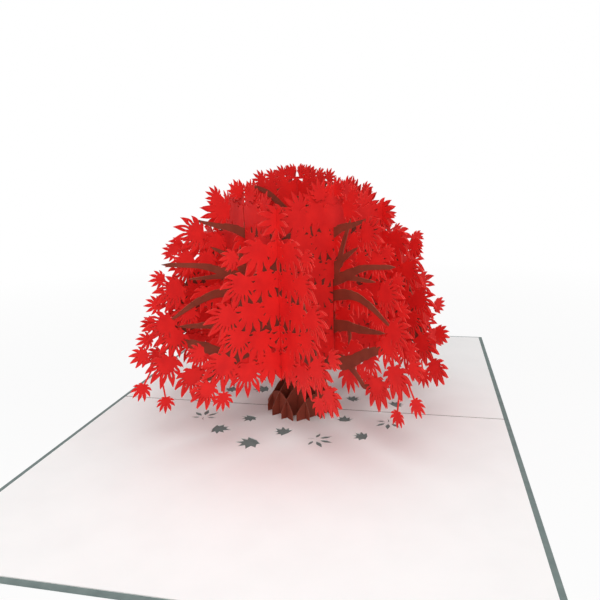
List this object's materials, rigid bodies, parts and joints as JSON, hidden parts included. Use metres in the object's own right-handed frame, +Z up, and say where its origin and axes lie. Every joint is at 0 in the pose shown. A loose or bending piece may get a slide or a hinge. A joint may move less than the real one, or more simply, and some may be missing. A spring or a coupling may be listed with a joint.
{
  "type": "pop up card",
  "caption": "Folded greeting card lying open flat, with a red maple tree of slotted paper sheets standing on its fold and leaf cut-outs in its liner.",
  "frame": {"origin": "underside of the cover, at the middle of the open card", "axes": "+X along the fold, +Y across the fold away from the viewer, +Z up the tree"},
  "size_m": [0.178, 0.254, 0.1066],
  "materials": {
    "cover_card": "matte grey-green card",
    "liner_paper": "matte white paper",
    "red_paper": "matte red paper",
    "brown_paper": "matte dark brown paper"
  },
  "bodies": {
    "root": {"bough_a_far": "brown_paper", "bough_a_near": "brown_paper", "bough_b_far": "brown_paper", "bough_b_near": "brown_paper", "cover": "cover_card", "leaves_a_far_back": "red_paper", "leaves_a_far_front": "red_paper", "leaves_a_middle_back": "red_paper", "leaves_a_middle_front_left": "red_paper", "leaves_a_middle_front_right": "red_paper", "leaves_a_near_back": "red_paper", "leaves_a_near_front": "red_paper", "leaves_b_far_back": "red_paper", "leaves_b_far_front": "red_paper", "leaves_b_middle_back": "red_paper", "leaves_b_middle_front_left": "red_paper", "leaves_b_middle_front_right": "red_paper", "leaves_b_near_back": "red_paper", "leaves_b_near_front": "red_paper", "liner": "liner_paper", "root_a_far_inner": "brown_paper", "root_a_far_outer": "brown_paper", "root_a_near_inner": "brown_paper", "root_a_near_outer": "brown_paper", "root_b_far_inner": "brown_paper", "root_b_far_outer": "brown_paper", "root_b_near_inner": "brown_paper", "root_b_near_outer": "brown_paper", "trunk_sheet_a": "brown_paper", "trunk_sheet_b": "brown_paper"}
  },
  "joints": []
}
